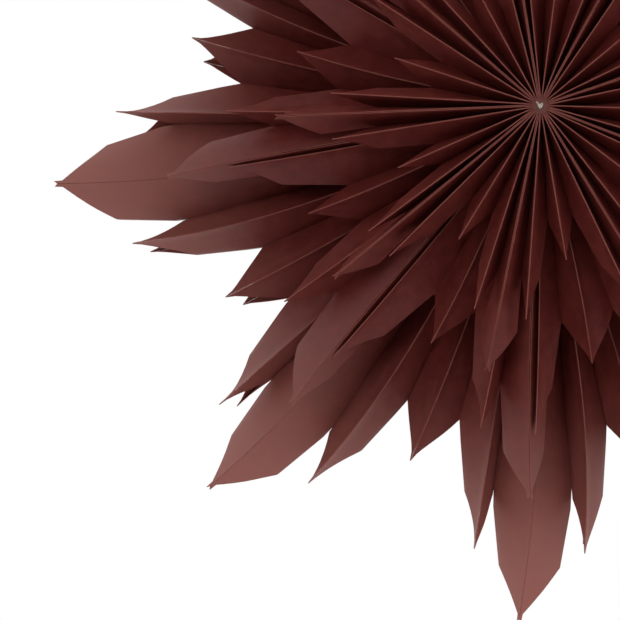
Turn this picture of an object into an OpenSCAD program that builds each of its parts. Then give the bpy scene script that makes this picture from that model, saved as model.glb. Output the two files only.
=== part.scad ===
// Folded paper star: card leaves of three lengths, fanned out round one bound spine.
// The star faces -Y with its hang hole at the top (+Z). Its origin is the middle of the hub.
// Angles run counterclockwise as seen from the front, and levels run from the middle to a face.

/* [Star] */
// Number of equal groups of four leaves round the star
groups = 9; // [8:1:10]
// Height of the front edge above the middle, at the hub
front_ridge_level = 105; // [98:1:115]
// Height of the glue line between neighbouring leaves behind the front points
front_valley_level = 86; // [80:1:92]
// Height of the middle points' ridge
middle_ridge_level = 74; // [66:1:78]
// Height of the glue line behind the middle points
middle_valley_level = 54; // [44:1:62]
// Height of the outer points' ridge
outer_ridge_level = 28; // [20:1:38]
// Share of every level that is lost from the hub to the rim
rim_closing = 0.25; // [0.1:0.01:0.4]

/* [Leaf lengths] */
// Radius of the long leaf's front point
long_front_r = 150; // [142:1:158]
// Radius of the long leaf's middle point
long_middle_r = 222; // [214:1:230]
// Radius of the long leaf's outer point, which is the star's radius
long_outer_r = 300; // [280:1:330]
// Step from the long to the medium and from the medium to the short leaf, at the front points
front_step = 32; // [28:1:35]
// The same step at the middle points
middle_step = 38; // [34:1:41]
// The same step at the outer points
outer_step = 41; // [36:1:46]
// Length of the slanting cut behind each front point
front_cut = 24; // [18:1:28]
// Length of the slanting cut behind each middle point
middle_cut = 26; // [20:1:30]
// Length of the slanting cut behind each outer point
outer_cut = 31; // [24:1:36]

/* [Leaf angles] */
// Front ridge of the first medium leaf, from the middle of its group
first_front_deg = -5; // [-6:0.5:-3.5]
// Middle ridge of the first medium leaf
first_middle_deg = -1.5; // [-3:0.5:1]
// Outer ridge of the first medium leaf
first_outer_deg = 0.5; // [-1:0.5:2]
// Front ridge of the long leaf
long_front_deg = 0; // [-1:0.5:1.5]
// Middle ridge of the long leaf
long_middle_deg = 8; // [7:0.5:8.5]
// Outer ridge of the long leaf
long_outer_deg = 7.5; // [6:0.5:9]
// Front ridge of the second medium leaf
second_front_deg = 7; // [5.5:0.5:8.5]
// Middle ridge of the second medium leaf
second_middle_deg = 10.5; // [10:0.5:12]
// Outer ridge of the second medium leaf
second_outer_deg = 16.5; // [15:0.5:18]
// Front ridge of the short leaf
short_front_deg = 21; // [19:0.5:23]
// Middle ridge of the short leaf
short_middle_deg = 24.5; // [22.5:0.5:26]
// Outer ridge of the short leaf
short_outer_deg = 28; // [26:0.5:30]
// Extra opening of the long leaf's front cells on each side
front_spread_deg = 1; // [0:0.25:1.5]
// Extra opening of the long leaf's middle and outer cells on each side
rear_spread_deg = 2.5; // [1.5:0.25:3]
// Turn of the back half of each leaf against its front half
back_turn_deg = 1.5; // [0:0.25:2]

/* [Card and glue] */
// Thickness of one sheet of a short or medium leaf
card_t = 0.3; // [0.2:0.05:0.35]
// Thickness of one sheet of a long leaf, where two groups are joined
long_card_t = 0.45; // [0.3:0.05:0.5]
// Width of the flat glued strip between two leaves at the middle
glue_band = 10; // [8:0.5:14]
// Thickness of the glue between two sheets
glue_t = 0.02; // [0.01:0.01:0.05]
// Room round the sheets' inner edges at the hub
hub_room = 0.2; // [0.1:0.05:0.5]

/* [Spine and hanging] */
// Diameter of the thread that ties the spine
thread_d = 2.2; // [1.6:0.1:2.6]
// Diameter of the knot at each end of the thread
knot_d = 3.4; // [3:0.1:4.5]
// Distance of the glue's end faces behind the front and back edges
glue_inset = 2; // [1:0.5:6]
// Diameter of the punched hang hole
hang_hole_d = 4; // [3:0.5:5]
// Distance of the hang hole's centre from the outer end of its glued strip
hang_hole_inset = 9; // [6:0.5:14]

/* [Hidden] */
$fn = 64;
card_color = "#5a2724";
long_card_color = "#62302b";
thread_color = "#e9dfcd";
glue_color = "#3a1a17";

// Kinds of leaf in the order in which they stand: 0 first medium, 1 long, 2 second medium, 3 short
FIRST = 0;
LONG = 1;
SECOND = 2;
SHORT = 3;
group_deg = 360 / groups;
// The leaf angles above are those of a star of nine groups
opening = group_deg / 40;

// Rows are the front, middle and outer points, and columns are the kinds of leaf
function lengths(long_r, step) = [long_r - step, long_r, long_r - step, long_r - 2 * step];
point_r = [
    lengths(long_front_r, front_step),
    lengths(long_middle_r, middle_step),
    lengths(long_outer_r, outer_step)
];
ridge_deg = opening * [
    [first_front_deg, long_front_deg, second_front_deg, short_front_deg],
    [first_middle_deg, long_middle_deg, second_middle_deg, short_middle_deg],
    [first_outer_deg, long_outer_deg, second_outer_deg, short_outer_deg]
];
cut = [front_cut, middle_cut, outer_cut];
ridge_level = [front_ridge_level, middle_ridge_level, outer_ridge_level];
valley_level = [front_valley_level, middle_valley_level, 0];
spread = opening * [front_spread_deg, rear_spread_deg, rear_spread_deg];
// Share of its opening that a flank keeps where it runs on past its neighbour
free_share = [0.5, 0.7, 0.5, 0.5];

function card(kind) = kind == LONG ? long_card_t : card_t;
group_card = 3 * card_t + long_card_t;
hub_r = groups * (group_card + 4 * glue_t) / PI + hub_room;
// Width of a leaf at the hub in degrees, and the place of its middle there
function hub_share(kind) = group_deg * card(kind) / group_card;
side_step = (hub_share(LONG) + hub_share(SHORT)) / 2;
hub_deg = [-side_step, 0, side_step, group_deg / 2];

// Angle of the seam between a leaf and the next one, at a tier of points and at the hub
function next_ridge(tier, kind) =
    kind == SHORT ? ridge_deg[tier][FIRST] + group_deg : ridge_deg[tier][kind + 1];
function seam_deg(tier, kind) =
    (ridge_deg[tier][kind] + next_ridge(tier, kind)) / 2
    + (kind == FIRST ? -spread[tier] : kind == LONG ? spread[tier] : 0);
function hub_seam_deg(kind) = hub_deg[kind] + hub_share(kind) / 2;
// Radius at which the seam ends: the corner behind the shorter of the two points
function seam_r(tier, kind) = min(point_r[tier][kind], point_r[tier][(kind + 1) % 4]) - cut[tier];

// Group 1 is turned so that the seam behind its short leaf stands at the top
first_group_deg = 90 - seam_deg(2, SHORT) - back_turn_deg / 2;
function group_turn(g) = first_group_deg + (g - 1) * group_deg;
hang_r = seam_r(2, SHORT) - hang_hole_inset;

// A place on a leaf, and the unit vector that points sideways from a radial line
function place(r, deg, level) =
    [r * cos(deg), -level * (1 - rim_closing * r / long_outer_r), r * sin(deg)];
function sideways(deg) = [-sin(deg), 0, cos(deg)];
function mix(a, b, share) = a + (b - a) * share;
function heading(from, to) = atan2(to.z - from.z, to.x - from.x);

// A line of a leaf is three places with their sideways vectors: hub, middle and end
function line(hub, middle, end, start_deg, run_deg) =
    [[hub, sideways(start_deg)], [middle, sideways(run_deg)], [end, sideways(run_deg)]];

// A ridge is where the two sheets of one leaf meet. Face is 1 at the front and -1 at the back.
function ridge_line(kind, tier, face) =
    let (
        deg = ridge_deg[tier][kind] + (face < 0 ? back_turn_deg : 0),
        reach = point_r[tier][kind],
        hub = place(hub_r, hub_deg[kind], face * ridge_level[tier]),
        tip = place(reach, deg, face * ridge_level[tier]),
        bare_r = tier == 0 ? reach - cut[0] : point_r[tier - 1][kind] - cut[tier - 1]
    )
    line(hub, mix(hub, tip, (bare_r - hub_r) / (reach - hub_r)), tip, hub_deg[kind], heading(hub, tip));

// A seam is where a leaf meets its neighbour: side 1 is the next leaf and -1 the one before
function seam_line(kind, tier, side, face, level) =
    let (
        seam_kind = side > 0 ? kind : (kind + 3) % 4,
        wrap = side < 0 && kind == FIRST ? group_deg : 0,
        twist = tier == 2 ? back_turn_deg / 2 : face < 0 ? back_turn_deg : 0,
        deg = seam_deg(tier, seam_kind) - wrap + twist,
        start_deg = hub_seam_deg(seam_kind) - wrap,
        glued_r = seam_r(tier, seam_kind),
        corner_r = point_r[tier][kind] - cut[tier],
        own_deg = ridge_deg[tier][kind] + twist,
        free_deg = own_deg + free_share[kind] * (deg - own_deg),
        band = glue_band / 2,
        hub = tier == 2 ? level_place(hub_r, start_deg, face * band) : place(hub_r, start_deg, level),
        glued = tier == 2 ? level_place(glued_r, deg, face * band) : place(glued_r, deg, level),
        corner = tier == 2 ? level_place(corner_r, free_deg, face * band) : place(corner_r, free_deg, level)
    )
    corner_r > glued_r + 0.01
        ? line(hub, glued, corner, start_deg, heading(hub, glued))
        : line(hub, mix(hub, glued, 0.6), glued, start_deg, heading(hub, glued));
function level_place(r, deg, level) = [r * cos(deg), -level, r * sin(deg)];

// The twelve lines of a sheet from its front edge to its back edge
function sheet_lines(kind, side) = concat(
    [for (tier = [0, 1, 2]) each [
        ridge_line(kind, tier, 1), seam_line(kind, tier, side, 1, valley_level[tier])]],
    [for (tier = [2, 1, 0]) each [
        seam_line(kind, tier, side, -1, -valley_level[tier]), ridge_line(kind, tier, -1)]]
);
function is_ridge(i) = i < 6 ? i % 2 == 0 : i % 2 == 1;

// Faces of a sheet: strips between its lines. A narrow strip lies behind a slanting cut.
// Each four-sided piece is creased on the diagonal that keeps it clear of the neighbouring leaf.
function spot(i, j) = 3 * i + j;
function piece(i, j, rising) = rising
    ? [[spot(i, j), spot(i + 1, j), spot(i + 1, j + 1)], [spot(i, j), spot(i + 1, j + 1), spot(i, j + 1)]]
    : [[spot(i, j), spot(i + 1, j), spot(i, j + 1)], [spot(i + 1, j), spot(i + 1, j + 1), spot(i, j + 1)]];
function turn_of(line) = atan2(line[1][0].z, line[1][0].x);
function lean(lines, i) = turn_of(lines[is_ridge(i) ? i : i + 1]) - turn_of(lines[is_ridge(i) ? i + 1 : i]);
function rises(lines, i, side) = (side * lean(lines, i) > 0) == is_ridge(i);
function wide_strip(i, rising) = concat(piece(i, 0, rising), piece(i, 1, rising));
function narrow_strip(i, rising) = concat(
    piece(i, 0, rising),
    [[spot(i, 1), spot(i + 1, 1), is_ridge(i) ? spot(i + 1, 2) : spot(i, 2)]]);
is_narrow = [false, true, false, true, false, false, false, true, false, true, false];
function sheet_faces(lines, side) = [for (i = [0:10]) each is_narrow[i]
    ? narrow_strip(i, rises(lines, i, side))
    : wide_strip(i, rises(lines, i, side))];

// The sheet's outline: along the hub, then back along the stepped outer edge
function outer_edge(i) =
    i == 11 ? [spot(11, 1), spot(11, 2)]
    : i == 9 || i == 7 ? [spot(i, 1), spot(i, 2)]
    : i == 4 || i == 2 ? [spot(i, 2), spot(i, 1)]
    : i == 0 ? [spot(0, 2), spot(0, 1)]
    : [spot(i, 2)];
sheet_outline = concat([for (i = [0:11]) spot(i, 0)], [for (i = [11:-1:0]) each outer_edge(i)]);

function turned(faces, side) =
    side > 0 ? faces : [for (f = faces) [for (n = [len(f) - 1:-1:0]) f[n]]];

// One die-cut sheet, folded to and fro between the leaf's ridges and its seams
module sheet(kind, side) {
    t = card(kind);
    lines = sheet_lines(kind, side);
    glue = glue_t / 2;
    outside = [for (i = [0:11]) each [for (s = lines[i])
        s[0] + side * (is_ridge(i) ? glue + t : -glue) * s[1]]];
    inside = [for (i = [0:11]) each [for (s = lines[i])
        s[0] + side * (is_ridge(i) ? glue : -glue - t) * s[1]]];
    n = len(outside);
    m = len(sheet_outline);
    rim = [for (i = [0:m - 1]) let (a = sheet_outline[i], b = sheet_outline[(i + 1) % m]) each [
        [b, a, a + n],
        [b, a + n, b + n]]];
    outer_faces = sheet_faces(lines, side);
    inner_faces = [for (f = outer_faces) [f[2] + n, f[1] + n, f[0] + n]];
    polyhedron(
        points = concat(outside, inside),
        faces = turned(concat(outer_faces, inner_faces, rim), side));
}

// A leaf is two sheets glued to each other along their ridges
module leaf(kind, g) {
    rotate([0, -group_turn(g), 0]) {
        sheet(kind, 1);
        sheet(kind, -1);
    }
}

// The hole is punched through the glued strip at the top, square to it
module hang_hole() {
    translate([0, 0, hang_r])
        rotate([0, 90, 0])
            cylinder(h = 12, d = hang_hole_d, center = true);
}

// The hang hole goes through the short leaf before the top seam and the medium leaf after it
module first_medium_leaf(g) {
    color(card_color)
        if (g == 2)
            difference() {
                leaf(FIRST, g);
                hang_hole();
            }
        else
            leaf(FIRST, g);
}

module long_leaf(g) {
    color(long_card_color)
        leaf(LONG, g);
}

module second_medium_leaf(g) {
    color(card_color)
        leaf(SECOND, g);
}

module short_leaf(g) {
    color(card_color)
        if (g == 1)
            difference() {
                leaf(SHORT, g);
                hang_hole();
            }
        else
            leaf(SHORT, g);
}

// Glue that holds the sheets' inner edges together round the thread
module spine_glue() {
    color(glue_color)
        rotate([90, 0, 0])
            difference() {
                cylinder(h = 2 * (front_ridge_level - glue_inset), r = hub_r - 0.02, center = true);
                cylinder(h = 2 * front_ridge_level, d = thread_d, center = true);
            }
}

// Thread along the spine, knotted against the glue at the front and at the back
module binding_thread() {
    knot_y = front_ridge_level - glue_inset + sqrt(pow(knot_d / 2, 2) - pow(thread_d / 2, 2));
    color(thread_color)
        rotate([90, 0, 0]) {
            cylinder(h = 2 * knot_y, d = thread_d, center = true);
            for (face = [-1, 1])
                translate([0, 0, face * knot_y])
                    sphere(d = knot_d);
        }
}

for (g = [1:groups]) {
    first_medium_leaf(g);
    long_leaf(g);
    second_medium_leaf(g);
    short_leaf(g);
}
spine_glue();
binding_thread();
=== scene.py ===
# %% [markdown]
# # A big folded paper star
#
# The real star is 72 die-cut card sheets. Two sheets glued along their front, middle and back ridges make a leaf, and
# 36 leaves are glued side by side round a bound spine. When the star is opened, the sheets bend to and fro between the
# glued strips, as in a honeycomb. This lesson dresses its CAD model: each leaf is cut flat and folded again in finer
# steps, and the card gets its colour, tooth, painted light at its outer points and a painted highlight on its cut
# edges.

# %% Load the fixed frame
import math
import bmesh
import bpy
from mathutils import Matrix, Vector, noise


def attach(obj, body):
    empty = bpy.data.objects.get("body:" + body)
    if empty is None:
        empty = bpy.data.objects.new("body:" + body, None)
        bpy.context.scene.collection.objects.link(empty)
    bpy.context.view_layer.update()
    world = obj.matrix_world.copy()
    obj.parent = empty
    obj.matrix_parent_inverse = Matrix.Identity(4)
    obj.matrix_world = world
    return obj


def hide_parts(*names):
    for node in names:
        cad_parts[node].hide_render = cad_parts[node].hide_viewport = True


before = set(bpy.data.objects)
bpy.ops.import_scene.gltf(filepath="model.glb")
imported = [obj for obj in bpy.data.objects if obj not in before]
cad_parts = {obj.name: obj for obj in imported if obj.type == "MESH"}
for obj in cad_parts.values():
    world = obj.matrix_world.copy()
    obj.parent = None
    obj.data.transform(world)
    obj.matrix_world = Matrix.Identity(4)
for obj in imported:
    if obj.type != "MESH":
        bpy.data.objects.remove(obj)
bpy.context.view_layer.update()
MM = 0.001

# %% [markdown]
# ## Camera
#
# The photograph is taken from about 1.1 m in front of the star, a little below its hub, and its frame holds the lower
# left part of the star only. A camera can be turned by eye, but this one was fitted to the star's points, so its place
# and its two directions are written down. It is turned towards that part, and a small lens shift does the rest.

# %% Camera at the photograph's angle
CAMERA_PLACE = Vector((4.5, -1110.1, -110.1)) * MM
LOOK = Vector((-0.0983, 0.99515, 0.00457))
UPWARDS = Vector((0.07844, 0.00317, 0.99691))
FOCAL_MM = 105.63
SENSOR_MM = 36
SHIFT = -0.12

lens = bpy.data.cameras.new("camera")
lens.lens = FOCAL_MM
lens.sensor_width = SENSOR_MM
lens.shift_x = SHIFT
camera = bpy.data.objects.new("camera", lens)
right = LOOK.cross(UPWARDS).normalized()
up = right.cross(LOOK).normalized()
camera.matrix_world = Matrix((
    (right.x, up.x, -LOOK.x, CAMERA_PLACE.x),
    (right.y, up.y, -LOOK.y, CAMERA_PLACE.y),
    (right.z, up.z, -LOOK.z, CAMERA_PLACE.z),
    (0, 0, 0, 1)))
bpy.context.scene.collection.objects.link(camera)
bpy.context.scene.camera = camera
print("camera is", round(camera.location.length, 3), "m from the hub")

# %% [markdown]
# ## The star's own sizes
#
# These are the sizes that the CAD model is made from, in millimetres and degrees. A level is a height above the middle
# of the star, towards its face, and the rim closes in a little, so every level shrinks towards the points. A leaf has
# three tiers of points, front, middle and outer, and a table below has one row for each tier and one column for each
# kind of leaf.

# %% Sizes of the leaves
GROUPS = 9
GROUP_DEG = 360 / GROUPS
KINDS = ("first_medium_leaf", "long_leaf", "second_medium_leaf", "short_leaf")
FIRST, LONG, SECOND, SHORT = range(4)
CARD = (0.3, 0.45, 0.3, 0.3)  # thickness of a sheet
GLUE = 0.02
POINT_R = ((118, 150, 118, 86), (184, 222, 184, 146), (259, 300, 259, 218))
RIDGE_DEG = ((-5, 0, 7, 21), (-1.5, 8, 10.5, 24.5), (0.5, 7.5, 16.5, 28))
CUT = (24, 26, 31)  # length of the slanting cut behind a tier's points
RIDGE_LEVEL = (105, 74, 28)
VALLEY_LEVEL = (86, 54, 5)
FOLD_LEVELS = [level for pair in zip(RIDGE_LEVEL, VALLEY_LEVEL) for level in pair]
SPREAD = (1, 2.5, 2.5)  # extra opening of the long leaf's cells
BACK_TURN = 1.5
FREE_SHARE = ((0.5, 1.1, 0.5, 0.5), (0.5, 0.7, 0.5, 0.5), (0.5, 0.65, 0.5, 0.5))
RIM_CLOSING = 0.25
HUB_ROOM = 0.2
HUB_R = GROUPS * (sum(CARD) + 4 * GLUE) / math.pi + HUB_ROOM
HUB_SHARE = [GROUP_DEG * t / sum(CARD) for t in CARD]
HUB_STEP = (HUB_SHARE[LONG] + HUB_SHARE[SHORT]) / 2
HUB_DEG = (-HUB_STEP, 0, HUB_STEP, GROUP_DEG / 2)
FIRST_GROUP_DEG = 55
print("hub radius in mm:", round(HUB_R, 2))

# %% [markdown]
# ## Hand work
#
# The star is opened and set by hand, so no two groups stand alike. Each ridge leans up to 3 degrees to one side of its
# even place, and the seams lean up to 4. Random numbers could do that, but three groups show in the photograph, so
# their leans are written down in degrees, front, middle and outer tier, and the other groups repeat those three. A seam
# without a lean of its own stands midway between its ridges. The seam with the hang hole stays where it is.

# %% How far the ridges and seams lean
LEANS = (
    ((0.9, 0.9, -1.8), (1.7, 1.6, -0.2), (1.6, -0.8, 0.2), (2.1, -1.1, 1.3)),
    ((0.9, -2.1, 1.1), (-0.5, 1.7, 0.5), (-2.2, -0.6, 1.1), (-2.3, 0.4, 1.3)),
    ((-2.7, 1.1, 1.0), (-1.0, 0.9, 0.3), (-0.4, -1.0, -0.4), (-0.9, -2.5, -0.6)),
)
FIRST_SHOWN = 4  # the group that has the first row of the leans
OWN_LEANS = {(3, SHORT): (0.3, 1.2, -1.4)}
SEAM_LEANS = {
    (3, SECOND): (0.5, 2.0, -1.3),
    (3, SHORT): (0.2, 0.8, -2.7),
    (4, FIRST): (2.2, 1.2, -2.3),
    (4, LONG): (1.1, 0.4, -0.1),
    (4, SECOND): (3.9, 2.2, 1.0),
    (4, SHORT): (0.7, -1.2, -0.2),
    (5, FIRST): (0.8, 0.0, 1.3),
    (5, LONG): (-1.2, 0.5, 0.5),
    (5, SECOND): (-1.5, 2.0, 1.5),
    (5, SHORT): (-3.1, 0.3, -0.2),
    (6, FIRST): (-1.1, 1.0, 0.6),
    (6, LONG): (-0.6, 0.0, -0.2),
    (6, SECOND): (0.0, -1.5, -0.5),
    (6, SHORT): (-0.9, -0.8, 0.3),
}
REAR_LEANS = {
    (3, SHORT): 0.8, (4, FIRST): 1.4, (4, LONG): -1.5, (4, SECOND): -0.6, (4, SHORT): -0.1,
    (5, FIRST): -0.5, (5, LONG): -1.3, (5, SECOND): -1.6, (5, SHORT): -1.6,
    (6, FIRST): -1.8, (6, LONG): -1.5, (6, SECOND): -1.6,
}


def ridge_lean(g, kind, tier):
    return OWN_LEANS.get((g, kind), LEANS[(g - FIRST_SHOWN) % len(LEANS)][kind])[tier]


def seam_lean(g, kind, tier):
    if (g, kind) == (1, SHORT):
        return 0
    if (g, kind) in SEAM_LEANS:
        return SEAM_LEANS[g, kind][tier]
    after = (g, kind + 1) if kind < SHORT else (g % GROUPS + 1, FIRST)
    return (ridge_lean(g, kind, tier) + ridge_lean(*after, tier)) / 2


print("widest lean of a ridge in degrees:", max(abs(x) for group in LEANS for leaf in group for x in leaf))

# %% [markdown]
# ## Glued lines
#
# Each sheet is held by lines of glue that run out from the hub: a ridge, where the two sheets of a leaf meet, and a
# seam, where a leaf meets its neighbour. They could be drawn as curves, but on the real star they are straight for most
# of their way, so a reach, an angle at the end and an angle at the hub describe each of them.


# %% Ridges and seams
def group_deg(g):
    return FIRST_GROUP_DEG + (g - 1) * GROUP_DEG


def on_circle(r, deg):
    return Vector((r * math.cos(math.radians(deg)), r * math.sin(math.radians(deg))))


def on_line(r, reach, deg, start_deg):
    """A place on the straight line from the hub to the end of a ridge or seam."""
    if r < HUB_R:
        return on_circle(r, start_deg)
    start, end = on_circle(HUB_R, start_deg), on_circle(reach, deg)
    return start.lerp(end, (r - HUB_R) / (reach - HUB_R))


def seam_twist(tier, face):
    """How far the back half of the star is turned at a seam. The outer seam runs through the middle."""
    return BACK_TURN / 2 if tier == 2 else BACK_TURN if face < 0 else 0


def ridge(g, kind, tier, face):
    """Where the two sheets of a leaf meet: its reach, angle and angle at the hub."""
    turn = group_deg(g)
    deg = RIDGE_DEG[tier][kind] + ridge_lean(g, kind, tier)
    if face < 0:
        deg += BACK_TURN + (REAR_LEANS.get((g, kind), 0) if tier == 2 else 0)
    return POINT_R[tier][kind], turn + deg, turn + HUB_DEG[kind]


def seam(g, kind, tier, face):
    """Where a leaf meets the next one: its reach, angle and angle at the hub."""
    turn = group_deg(g)
    after = (kind + 1) % 4
    next_deg = RIDGE_DEG[tier][after] + (GROUP_DEG if kind == SHORT else 0)
    deg = (RIDGE_DEG[tier][kind] + next_deg) / 2
    deg += {FIRST: -SPREAD[tier], LONG: SPREAD[tier]}.get(kind, 0)
    deg += seam_lean(g, kind, tier)
    deg += seam_twist(tier, face)
    reach = min(POINT_R[tier][kind], POINT_R[tier][after]) - CUT[tier]
    return reach, turn + deg, turn + HUB_DEG[kind] + HUB_SHARE[kind] / 2


print("front seam behind the first short leaf:", [round(x, 1) for x in seam(1, SHORT, 0, 1)])

# %% [markdown]
# ## Die-cut card
#
# On the real star a steel-rule die cuts every sheet flat, with its three steps. So the lesson starts flat too: one
# polygon with the die's outline, sliced by planes where the card will bend. X is the distance from the hub, and Y the
# level. Under each step the die slits the sheet inwards, to where the shorter neighbour's glued strip ends, so that the
# step can open. A long leaf ends in a small forked stub, and the other points are blunt by less than a millimetre.

# %% The die's outline
PINCHED_R = 1.7  # the binding thread pinches the sheets together at the hub
BLUNT = (0.7, 0.7, 0.3)
STUB_LENGTH = 5
STUB_DEPTH = 1.8
STUB_NOTCH = 2
STUB_FLARE = 0.2
SLIT_END = 3  # the lower edge of a slit starts this much further out, so its end is a narrow V


def slit_foot(kind, tier):
    """How far in the slit under a step runs."""
    return min(POINT_R[tier][kind], POINT_R[tier][kind - 1], POINT_R[tier][(kind + 1) % 4]) - CUT[tier]


def die_outline(kind):
    """The corners of a sheet in mm, from its front edge at the hub round to its back edge."""
    half = [(PINCHED_R, RIDGE_LEVEL[0])]
    for tier in range(3):
        level = RIDGE_LEVEL[tier]
        point_r = POINT_R[tier][kind]
        corner_r = point_r - CUT[tier]
        if kind == LONG:
            half += [(point_r - STUB_NOTCH, level), (point_r, level - STUB_DEPTH),
                     (point_r - STUB_LENGTH, level - STUB_DEPTH - STUB_FLARE)]
        else:
            half += [(point_r, level), (point_r, level - BLUNT[tier])]
        half.append((corner_r, VALLEY_LEVEL[tier]))
        if tier < 2:
            slit_r = slit_foot(kind, tier)
            if slit_r < corner_r:
                half.append((slit_r, VALLEY_LEVEL[tier]))
                half.append((slit_r + SLIT_END, RIDGE_LEVEL[tier + 1]))
            else:
                half.append((corner_r, RIDGE_LEVEL[tier + 1]))
    return half + [(r, -level) for r, level in reversed(half)]


print("corners of a long sheet:", len(die_outline(LONG)))

# %% Cut the four kinds of sheet flat
STATION = 12  # distance between slices along a leaf
STEPS_ACROSS = 6  # slices between one glued line and the next
HUB_STATIONS = [3, HUB_R, 7, 10, 14]  # slices stand closer together where the leaves crowd into the hub
TOUCH = 1e-4


def slice_at(card, place, across):
    everything = card.verts[:] + card.edges[:] + card.faces[:]
    bmesh.ops.bisect_plane(card, geom=everything, dist=TOUCH, plane_co=place, plane_no=across)


def flat_sheet(kind):
    card = bmesh.new()
    card.faces.new([card.verts.new((r, level, 0)) for r, level in die_outline(kind)])
    for high, low in zip(FOLD_LEVELS, FOLD_LEVELS[1:]):
        for step in range(STEPS_ACROSS):
            level = high + (low - high) * step / STEPS_ACROSS
            slice_at(card, (0, level, 0), (0, 1, 0))
            slice_at(card, (0, -level, 0), (0, 1, 0))
    for level in (VALLEY_LEVEL[2], 0, -VALLEY_LEVEL[2]):
        slice_at(card, (0, level, 0), (0, 1, 0))
    for r in HUB_STATIONS + [POINT_R[tier][kind] - STUB_LENGTH for tier in range(3)]:
        slice_at(card, (r, 0, 0), (1, 0, 0))
    for station in range(1, int(POINT_R[2][kind] / STATION)):
        slice_at(card, ((station + 0.5) * STATION, 0, 0), (1, 0, 0))
    return card


FLAT = [flat_sheet(kind) for kind in range(4)]
print("faces in each flat sheet:", [len(card.faces) for card in FLAT])

# %% [markdown]
# ## Bending the card
#
# Card that is glued in strips doesn't crease. It leaves each ridge flat against its twin sheet, swings over to the seam
# and arrives there at a slant, in a soft curve. That curve is why the points end in needles and why their cuts look
# curved. A cloth simulation could find it, but the glue leaves the card little freedom, so a formula does it and gives
# the same star every time. One function says how far along the curve a place on the card is, and another puts every
# vertex of a flat sheet in its place. Beyond the end of a seam the card's edge is free and runs straight to its corner.

# %% How the card swings from line to line
GLUED_SHARE = (0.16, 0.02, 0.15, 0.15)  # share of the way that a ridge's glue keeps flat, for each kind of leaf
BELLY = {(LONG, -1): 0.4, (LONG, 1): 0.15}  # a long leaf's flanks bulge
RIDGE_GAP = ((0, 0.2, 0, 0), (0, 0.3, 0, 0), (0, -0.3, 0, 0))  # a long leaf's front edge shows double
RIDGE_BOW = ((0, 0, 0, 0), (0.5, -1.0, 0.5, 1.2), (0, 2.2, 3.0, 1.0))  # degrees by which a ridge bows halfway out
DIMPLE = 2.5  # the thread pulls the hub in by this much
DIMPLE_R = 14


def s_curve(share, kind, side):
    """How far the card has swung from a ridge, 0, to a seam, 1. It starts flat in the glued strip."""
    flat = GLUED_SHARE[kind]
    swung = share - flat * (1 - math.exp(-share / flat))
    return swung / (1 - flat) + BELLY.get((kind, side), 0) * share * (1 - share)


def height(r, level):
    """Level on the flat sheet to height on the star, where the rim closes in and the hub is dimpled."""
    closing = 1 - RIM_CLOSING * r / POINT_R[2][LONG]
    closing -= DIMPLE / RIDGE_LEVEL[0] * max(0, 1 - r / DIMPLE_R) ** 2
    far, sign = abs(level), math.copysign(1, level)
    band = VALLEY_LEVEL[2]
    if far <= band:
        return level
    if far < RIDGE_LEVEL[2]:
        return sign * (band + (far - band) * (RIDGE_LEVEL[2] * closing - band) / (RIDGE_LEVEL[2] - band))
    return level * closing


def line_place(g, kind, side, fold, face, r):
    """The card's place on one of the six fold lines, in the star's plane."""
    tier = fold // 2
    t = CARD[kind]
    if fold % 2 == 0:
        reach, deg, start_deg = ridge(g, kind, tier, face)
        bow = RIDGE_BOW[tier][kind] * math.sin(math.pi * min(1, r / reach))
        place = on_line(r, reach, deg + bow, start_deg)
        offset = (GLUE + t + RIDGE_GAP[tier][kind]) / 2
    else:
        before = (g, kind) if side > 0 else (g, kind - 1) if kind > 0 else (g - 1, SHORT)
        reach, deg, start_deg = seam(*before, tier, face)
        corner_r = POINT_R[tier][kind] - CUT[tier]
        place = on_line(r, reach, deg, start_deg)
        if r > reach and corner_r > reach:
            own_deg = group_deg(g) + RIDGE_DEG[tier][kind] + ridge_lean(g, kind, tier) + seam_twist(tier, face)
            free_corner = on_circle(corner_r, own_deg + FREE_SHARE[tier][kind] * (deg - own_deg))
            place = on_circle(reach, deg).lerp(free_corner, (r - reach) / (corner_r - reach))
        offset = -(GLUE + t) / 2
    outwards = place.normalized()
    offset *= min(1, r / HUB_R)
    return place + side * offset * Vector((-outwards.y, outwards.x))


print("share swung halfway across a long leaf:", round(s_curve(0.5, LONG, 1), 2))

# %% Put a flat sheet's places on the star
WAVE = 1.2  # mm by which the card waves at the distance WAVE_FULL_R from the hub
WAVE_FULL_R = 220
WAVE_LENGTH = 55
WAVE_LENGTH_ACROSS = 34
WAVE_GROUP, WAVE_KIND, WAVE_SIDE = 7.3, 1.7, 0.4  # so that no two sheets wave alike
NARROW = 0.5  # a flank narrower than this can't wave


def bent(g, kind, side, r, level):
    """Place on the star, in metres, of a point on the flat sheet."""
    face = 1 if level >= 0 else -1
    far = abs(level)
    fold = max(i for i in range(6) if FOLD_LEVELS[i] >= far - 1e-6)
    if fold == 5:
        place = line_place(g, kind, side, 5, face, r)
    else:
        width = FOLD_LEVELS[fold] - FOLD_LEVELS[fold + 1]
        share = (FOLD_LEVELS[fold] - far) / width
        here = line_place(g, kind, side, fold, face, r)
        there = line_place(g, kind, side, fold + 1, face, r)
        swung = s_curve(share, kind, side) if fold % 2 == 0 else 1 - s_curve(1 - share, kind, side)
        place = here.lerp(there, swung)
        if (there - here).length > NARROW:
            seed = Vector((r / WAVE_LENGTH, level / WAVE_LENGTH_ACROSS,
                           WAVE_GROUP * g + WAVE_KIND * kind + WAVE_SIDE * side))
            wave = WAVE * noise.noise(seed) * math.sin(math.pi * share) * r / WAVE_FULL_R
            place += wave * (there - here).normalized()
    return Vector((place.x, -height(r, level), place.y)) * MM


print("tip of the left long leaf in mm:", [round(x / MM) for x in bent(4, LONG, 1, POINT_R[2][LONG], RIDGE_LEVEL[2])])

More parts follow.
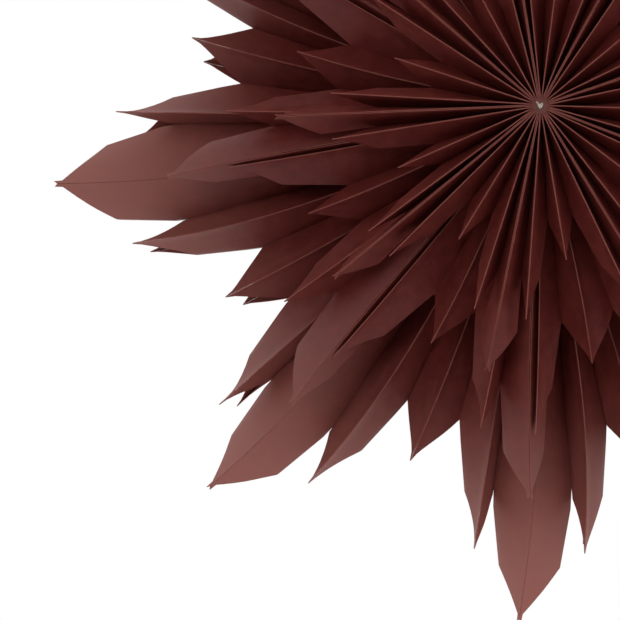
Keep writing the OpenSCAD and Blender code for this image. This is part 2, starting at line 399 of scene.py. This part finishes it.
# %% [markdown]
# ## Materials
#
# One helper turns the hex colours of a paint card into the linear numbers that Blender's shaders work with. Another
# adds one node with its settings and links, so that each material reads as a short recipe.


# %% Colour and node helpers
def linear(hex_colour):
    channels = [int(hex_colour[i:i + 2], 16) / 255 for i in (1, 3, 5)]
    return [c / 12.92 if c <= 0.04045 else ((c + 0.055) / 1.055) ** 2.4 for c in channels] + [1]


def add(tree, kind, settings=None, **inputs):
    """Adds a node. Inputs are values or other nodes' outputs, by socket name or number."""
    node = tree.nodes.new(kind)
    for name, value in (settings or {}).items():
        setattr(node, name, value)
    for name, value in inputs.items():
        socket = node.inputs[int(name[1:]) if name[0] == "i" and name[1:].isdigit() else name.replace("_", " ")]
        if isinstance(value, bpy.types.NodeSocket):
            tree.links.new(value, socket)
        else:
            socket.default_value = value
    return node


def new_material(name):
    material = bpy.data.materials.new(name)
    material.use_nodes = True
    tree = material.node_tree
    tree.nodes.clear()
    return material, tree


print("oxblood in linear numbers:", [round(c, 3) for c in linear("#541b17")[:3]])

# %% [markdown]
# ### Dyed card
#
# Real material: uncoated card of about 200 g per square metre, dyed through in the pulp to a deep oxblood red and
# pressed smooth. It is matte face on, but its pressed surface catches a soft pale gleam where it turns away. Its fibres
# clump into faint clouds 5 to 10 mm across, and the felt leaves a fine tooth of about 0.4 mm. The outer points stand
# free in the light and catch more light and glare than the card in the depth of the star, and that is painted in: the
# colour is painted paler with the distance from the hub. A picture of the card could carry all this, but noise at real
# sizes stays sharp from any distance and has no seams.

# %% Card, on its faces and on its cut edges
CLOUD_MM = 8
TOOTH_MM = 0.9  # the real tooth is about 0.4 mm, drawn coarser so that it shows
TOOTH_SHARE = 0.35  # how much the tooth adds to the clouds
TOOTH_DEPTH_MM = 0.05
# Painted light: between these distances from the hub, in metres, the card is painted paler towards the points
PAINTED_LIGHT_FROM = 0.14
PAINTED_LIGHT_TO = 0.30
PAINTED_LIGHT_MOST = 0.8  # some of the clouds still show at the points
PRESSED_SHEEN = 0.25  # dry fibres shine less than a coated surface, for which it would be 0.5


def card_material(name, dark, light, painted_light_colour, roughness, tooth):
    material, tree = new_material(name)
    place = add(tree, "ShaderNodeTexCoord").outputs["Object"]
    in_plane = add(tree, "ShaderNodeVectorMath", {"operation": "MULTIPLY"}, i0=place, i1=(1, 0, 1))
    reach = add(tree, "ShaderNodeVectorMath", {"operation": "LENGTH"}, i0=in_plane.outputs[0])
    # Painted light: the colour is painted paler with the distance from the hub
    rim_share = add(tree, "ShaderNodeMapRange", {"interpolation_type": "SMOOTHSTEP"}, Value=reach.outputs["Value"],
               From_Min=PAINTED_LIGHT_FROM, From_Max=PAINTED_LIGHT_TO, To_Max=PAINTED_LIGHT_MOST)
    clouds = add(tree, "ShaderNodeTexNoise", Vector=place, Scale=1 / (CLOUD_MM * MM), Detail=4.0, Roughness=0.6)
    fibres = add(tree, "ShaderNodeTexNoise", Vector=place, Scale=1 / (TOOTH_MM * MM), Detail=2.0)
    mottle = add(tree, "ShaderNodeMath", {"operation": "MULTIPLY_ADD"}, i0=fibres.outputs["Fac"], i1=TOOTH_SHARE,
                 i2=clouds.outputs["Fac"])
    tint = add(tree, "ShaderNodeMapRange", Value=mottle.outputs[0], From_Min=0.4, From_Max=0.95)
    colour = add(tree, "ShaderNodeMix", {"data_type": "RGBA"}, i0=tint.outputs[0], i6=linear(dark), i7=linear(light))
    colour_and_painted_light = add(tree, "ShaderNodeMix", {"data_type": "RGBA"}, i0=rim_share.outputs[0], i6=colour.outputs[2],
               i7=linear(painted_light_colour))
    gloss = add(tree, "ShaderNodeMapRange", Value=clouds.outputs["Fac"], From_Min=0.3, From_Max=0.7,
                To_Min=roughness - 0.03, To_Max=roughness + 0.04)
    bump = add(tree, "ShaderNodeBump", Strength=tooth, Distance=TOOTH_DEPTH_MM * MM, Height=mottle.outputs[0])
    card = add(tree, "ShaderNodeBsdfPrincipled", Base_Color=colour_and_painted_light.outputs[2], Roughness=gloss.outputs[0],
               IOR=1.5, Specular_IOR_Level=PRESSED_SHEEN, Normal=bump.outputs[0])
    add(tree, "ShaderNodeOutputMaterial", Surface=card.outputs[0])
    return material


# The cut edge is painted paler than the face, a painted highlight; its broken, unpressed fibres make it rougher
card_face = card_material("oxblood dyed card, pressed face", "#541b17", "#6f2c26", "#a5675e", 0.5, 0.5)
card_edge = card_material("oxblood dyed card, cut edge, painted paler", "#84463f", "#94554c", "#a5675e", 0.8, 0.3)
print("card materials:", card_face.name, "/", card_edge.name)

# %% [markdown]
# ## Leaves
#
# A leaf is one piece of two sheets. The bent sheets are surfaces without thickness. Each could be extruded, but a
# Solidify modifier gives both sheets the card's thickness at once and puts the cut edge's material on the rim. Towards
# the hub the thread squeezes the card thinner, which a vertex group tells the modifier. Each leaf stands for its CAD
# node, which is hidden.

# %% Fold all 36 leaves
PINCH_REACH = 7


def plain_copy(obj):
    """Applies the modifiers of an object to a mesh of its own."""
    shape = bpy.data.meshes.new_from_object(obj.evaluated_get(bpy.context.evaluated_depsgraph_get()))
    obj.modifiers.clear()
    obj.data = shape


def leaf(g, kind):
    both = bmesh.new()
    pinch = []
    for side in (1, -1):
        sheet = FLAT[kind].copy()
        pinch += [min(1, vertex.co.x / PINCH_REACH) for vertex in sheet.verts]
        for vertex in sheet.verts:
            vertex.co = bent(g, kind, side, vertex.co.x, vertex.co.y)
        mesh = bpy.data.meshes.new("sheet")
        sheet.to_mesh(mesh)
        both.from_mesh(mesh)
        bpy.data.meshes.remove(mesh)
        sheet.free()
    mesh = bpy.data.meshes.new(f"card_{KINDS[kind]}_{g}")
    both.to_mesh(mesh)
    both.free()
    obj = bpy.data.objects.new(mesh.name, mesh)
    bpy.context.scene.collection.objects.link(obj)
    mesh.materials.append(card_face)
    mesh.materials.append(card_edge)
    near_hub = obj.vertex_groups.new(name="pinched at the hub")
    for number, share in enumerate(pinch):
        near_hub.add([number], share, "REPLACE")
    thick = obj.modifiers.new("card thickness", "SOLIDIFY")
    thick.vertex_group = near_hub.name
    thick.thickness = CARD[kind] * MM
    thick.offset = 0
    thick.material_offset_rim = 1
    return obj


leaves = {(g, kind): leaf(g, kind) for g in range(1, GROUPS + 1) for kind in range(4)}
print(len(leaves), "leaves")

# %% [markdown]
# ## Hang hole
#
# The star hangs from a 4 mm punched hole through the glued strip at the top. The hole could be drawn in the die's
# outline, but it is punched when the star is glued, through two leaves at once. So a cylinder cuts it out of the two
# leaves that meet there.

# %% Punch the hang hole
HANG_R = 178
HOLE_D = 4
PUNCH_LENGTH = 12
PUNCH_SIDES = 48
SHARP_DEG = 40  # edges that turn more than this stay sharp, such as the card's cut edges


def hole_punch():
    punch = bmesh.new()
    bmesh.ops.create_cone(punch, cap_ends=True, segments=PUNCH_SIDES, radius1=HOLE_D / 2 * MM,
                          radius2=HOLE_D / 2 * MM, depth=PUNCH_LENGTH * MM)
    bmesh.ops.rotate(punch, verts=punch.verts, matrix=Matrix.Rotation(math.pi / 2, 3, "Y"))
    bmesh.ops.translate(punch, verts=punch.verts, vec=(0, 0, HANG_R * MM))
    mesh = bpy.data.meshes.new("punch")
    punch.to_mesh(mesh)
    punch.free()
    return bpy.data.objects.new("punch", mesh)


punch = hole_punch()
bpy.context.scene.collection.objects.link(punch)
for at_top in ((1, SHORT), (2, FIRST)):
    cut = leaves[at_top].modifiers.new("hang hole", "BOOLEAN")
    cut.operation = "DIFFERENCE"
    cut.solver = "EXACT"
    cut.object = punch
for (g, kind), obj in leaves.items():
    plain_copy(obj)
    obj.data.polygons.foreach_set("use_smooth", [True] * len(obj.data.polygons))
    obj.data.set_sharp_from_angle(angle=math.radians(SHARP_DEG))
    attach(obj, "root")
    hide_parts(f"{KINDS[kind]}_{g}")
bpy.data.objects.remove(punch)
print("triangles in all leaves:", sum(len(p.vertices) - 2 for o in leaves.values() for p in o.data.polygons))

# %% [markdown]
# ## Spine
#
# The sheets' inner edges stand in glue round a thread that runs through the hub and is knotted at both faces. The glue
# keeps its CAD shape, since it hardly shows, and gets a lumpy finish.

# %% Spine glue
# Real material: water-based craft glue, dried dark and dull with the dye that it took up, in soft lumps
LUMP_MM = 1.5
LUMP_DEPTH_MM = 0.3

glue, tree = new_material("dried dark glue")
place = add(tree, "ShaderNodeTexCoord").outputs["Object"]
lumps = add(tree, "ShaderNodeTexNoise", Vector=place, Scale=1 / (LUMP_MM * MM), Detail=3.0)
bump = add(tree, "ShaderNodeBump", Strength=0.6, Distance=LUMP_DEPTH_MM * MM, Height=lumps.outputs["Fac"])
body = add(tree, "ShaderNodeBsdfPrincipled", Base_Color=linear("#3a1a17"), Roughness=0.55, Normal=bump.outputs[0])
add(tree, "ShaderNodeOutputMaterial", Surface=body.outputs[0])
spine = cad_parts["spine_glue"]
spine.data.materials.clear()
spine.data.materials.append(glue)
print("glue on", spine.name)

# %% [markdown]
# ### Thread and its knots
#
# The thread is three twisted strands of cotton, tied tight in an overhand knot with two short loose ends. A ball could
# stand for a knot this small, but its loops show, so it is made as a trefoil, which is the true path of such a knot.

# %% Cotton of the thread
# Real material: undyed cotton, spun and twisted. It is matte, and its slanting plies show as fine light and dark bands.
PLY_MM = 4
PLY_DEPTH_MM = 0.15

thread, tree = new_material("cream cotton thread")
place = add(tree, "ShaderNodeTexCoord").outputs["Object"]
plies = add(tree, "ShaderNodeTexWave", {"bands_direction": "DIAGONAL"}, Vector=place, Scale=1 / (PLY_MM * MM),
            Distortion=2.0)
tint = add(tree, "ShaderNodeMix", {"data_type": "RGBA"}, i0=plies.outputs["Fac"], i6=linear("#b8a78f"),
           i7=linear("#e9dfcd"))
bump = add(tree, "ShaderNodeBump", Strength=0.7, Distance=PLY_DEPTH_MM * MM, Height=plies.outputs["Fac"])
body = add(tree, "ShaderNodeBsdfPrincipled", Base_Color=tint.outputs[2], Roughness=0.85, Normal=bump.outputs[0])
add(tree, "ShaderNodeOutputMaterial", Surface=body.outputs[0])
print("thread material:", thread.name)

# %% Tie the thread
KNOT_Y = 103.4  # height of a knot's middle, towards its face
KNOT_SIZE = 1.25
KNOT_DEPTH = 0.6
KNOT_POINTS = 24
THREAD_R = 0.42  # radius of one strand
TWIST_R = 0.45  # radius of the circle on which the three strands wind
TWIST_DEG = 12  # degrees that they wind in a millimetre
TWIST_END = 102
TWIST_STEP = 6


def strand(curve, points, closed=False):
    """Adds one strand of thread through points in mm, given as x, towards the face, z."""
    spline = curve.splines.new("NURBS")
    spline.points.add(len(points) - 1)
    for point, (x, out, z) in zip(spline.points, points):
        point.co = (x * MM, -out * MM, z * MM, 1)
    spline.use_cyclic_u = closed
    spline.use_endpoint_u = not closed
    spline.order_u = 4


def knot_loop(face, size):
    """A trefoil, the loop of an overhand knot, pulled tight."""
    turns = [math.tau * i / KNOT_POINTS for i in range(KNOT_POINTS)]
    return [(size * (math.sin(t) + 2 * math.sin(2 * t)) / 3,
             face * (KNOT_Y - KNOT_DEPTH * math.sin(3 * t)),
             size * (math.cos(t) - 2 * math.cos(2 * t)) / 3) for t in turns]


def tied_thread():
    curve = bpy.data.curves.new("tied_thread", "CURVE")
    curve.dimensions = "3D"
    curve.bevel_depth = THREAD_R * MM
    curve.bevel_resolution = 3
    curve.use_fill_caps = True
    for turn in (0, 120, 240):
        wound = []
        for y in range(-TWIST_END, TWIST_END + 1, TWIST_STEP):
            angle = math.radians(turn + TWIST_DEG * y)
            wound.append((TWIST_R * math.cos(angle), y, TWIST_R * math.sin(angle)))
        strand(curve, wound)
    for face in (1, -1):
        strand(curve, knot_loop(face, KNOT_SIZE), closed=True)
        strand(curve, [(0.2, face * (KNOT_Y - 1), 0.1), (-0.6, face * KNOT_Y, 0.9), (-1.3, face * (KNOT_Y + 0.3), 1.6),
                       (-1.9, face * (KNOT_Y - 0.2), 2.3)])
        strand(curve, [(0, face * (KNOT_Y - 1), -0.2), (0.8, face * KNOT_Y, 0.7), (1.3, face * (KNOT_Y - 0.3), 1.5)])
    drawn = bpy.data.objects.new("tied_thread", curve)
    bpy.context.scene.collection.objects.link(drawn)
    mesh = bpy.data.meshes.new_from_object(drawn.evaluated_get(bpy.context.evaluated_depsgraph_get()))
    bpy.data.objects.remove(drawn)
    return bpy.data.objects.new("tied_thread", mesh)


binding = tied_thread()
bpy.context.scene.collection.objects.link(binding)
binding.data.polygons.foreach_set("use_smooth", [True] * len(binding.data.polygons))
binding.data.materials.clear()
binding.data.materials.append(thread)
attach(binding, "root")
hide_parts("binding_thread")
print("thread faces:", len(binding.data.polygons))

# %% [markdown]
# ## Stage and light
#
# The photograph's ground is plain white. A pale floor lies well under the star, out of the photograph's view, and fades
# into the white of the world at its rim. The rim and the world show as pure white to the camera, in gloss and through
# glass, but light the card at other levels. The world could light it evenly, but then every flank would look alike. So
# the room is bright behind and beside the star and dim in front of it, and the deep cells stay dark. Three large soft
# lamps, at the right, at the left and in front, give the room its direction.

# %% Floor
FLOOR_Z = -0.5
FLOOR_R = 0.85
FLOOR_SIDES = 96
stage = bmesh.new()
bmesh.ops.create_circle(stage, cap_ends=True, segments=FLOOR_SIDES, radius=FLOOR_R)
bmesh.ops.translate(stage, verts=stage.verts, vec=(0, 0, FLOOR_Z))
mesh = bpy.data.meshes.new("floor")
stage.to_mesh(mesh)
stage.free()
floor = bpy.data.objects.new("floor", mesh)
bpy.context.scene.collection.objects.link(floor)


def sees_white(tree):
    """1 for the rays that show the white ground: to the camera, and in gloss and glass."""
    ray = add(tree, "ShaderNodeLightPath")
    plain = add(tree, "ShaderNodeMath", {"operation": "MAXIMUM"}, i0=ray.outputs["Is Camera Ray"],
                i1=ray.outputs["Is Glossy Ray"])
    return add(tree, "ShaderNodeMath", {"operation": "MAXIMUM"}, i0=plain.outputs[0],
               i1=ray.outputs["Is Transmission Ray"]).outputs[0]


# Real material: board painted with matt white emulsion. The fade at its rim hides where it ends.
paper_white, tree = new_material("pale studio floor")
place = add(tree, "ShaderNodeTexCoord").outputs["Object"]
flat = add(tree, "ShaderNodeVectorMath", {"operation": "MULTIPLY"}, i0=place, i1=(1, 1, 0))
reach = add(tree, "ShaderNodeVectorMath", {"operation": "LENGTH"}, i0=flat.outputs[0])
rim_share = add(tree, "ShaderNodeMapRange", Value=reach.outputs["Value"], From_Min=FLOOR_R * 0.55, From_Max=FLOOR_R * 0.97)
blend = add(tree, "ShaderNodeMath", {"operation": "MULTIPLY"}, i0=rim_share.outputs[0], i1=sees_white(tree))
matt = add(tree, "ShaderNodeBsdfDiffuse", Color=linear("#f2f2f2"))
glow = add(tree, "ShaderNodeEmission", Color=(1, 1, 1, 1), Strength=1.0)
both = add(tree, "ShaderNodeMixShader", i0=blend.outputs[0], i1=matt.outputs[0], i2=glow.outputs[0])
add(tree, "ShaderNodeOutputMaterial", Surface=both.outputs[0])
floor.data.materials.append(paper_white)
print("floor is", round(2 * FLOOR_R, 2), "m across")

# %% World
SURROUND_LEVEL = 1.9
# How bright the room is, from in front of the star, -1, to behind it, 1
ROOM_LEVELS = ((-0.22, 0.05), (0.06, SURROUND_LEVEL), (0.3, SURROUND_LEVEL), (0.6, 0.9))

world = bpy.data.worlds.new("white room")
bpy.context.scene.world = world
world.use_nodes = True
tree = world.node_tree
tree.nodes.clear()
direction = add(tree, "ShaderNodeTexCoord").outputs["Generated"]
along = add(tree, "ShaderNodeSeparateXYZ", Vector=direction)
backwards = add(tree, "ShaderNodeMapRange", Value=along.outputs["Y"], From_Min=-1.0, From_Max=1.0)
ramp = add(tree, "ShaderNodeValToRGB", i0=backwards.outputs[0])
ramp.color_ramp.interpolation = "EASE"
for number, (backward, strength) in enumerate(ROOM_LEVELS):
    stop = ramp.color_ramp.elements[number] if number < 2 else ramp.color_ramp.elements.new((backward + 1) / 2)
    stop.position = (backward + 1) / 2
    stop.color = [strength / SURROUND_LEVEL] * 3 + [1]
lit = add(tree, "ShaderNodeMath", {"operation": "MULTIPLY"}, i0=ramp.outputs[0], i1=SURROUND_LEVEL)
level = add(tree, "ShaderNodeMix", {"data_type": "FLOAT"}, i0=sees_white(tree), i2=lit.outputs[0], i3=1.0)
room = add(tree, "ShaderNodeBackground", Color=(1, 1, 1, 1), Strength=level.outputs[0])
add(tree, "ShaderNodeOutputWorld", Surface=room.outputs[0])
print("stops in the room's light:", len(ramp.color_ramp.elements))


# %% Lamps
def softbox(name, place, size, watts):
    """A square lamp at a place in metres, turned towards the hub."""
    lamp = bpy.data.lights.new(name, "AREA")
    lamp.size = size
    lamp.energy = watts
    obj = bpy.data.objects.new(name, lamp)
    obj.location = place
    obj.rotation_euler = (Vector((0, 0, 0)) - Vector(place)).to_track_quat("-Z", "Y").to_euler()
    bpy.context.scene.collection.objects.link(obj)


softbox("window_light", (1.5, -1.0, 0.6), 1.2, 9)
softbox("side_reflector", (-1.4, -0.9, 0.9), 1.2, 5)
softbox("front_light", (-0.5, -2.0, 0.5), 0.8, 10)
view = bpy.context.scene.view_settings
view.view_transform = "Standard"
print("stage is set")
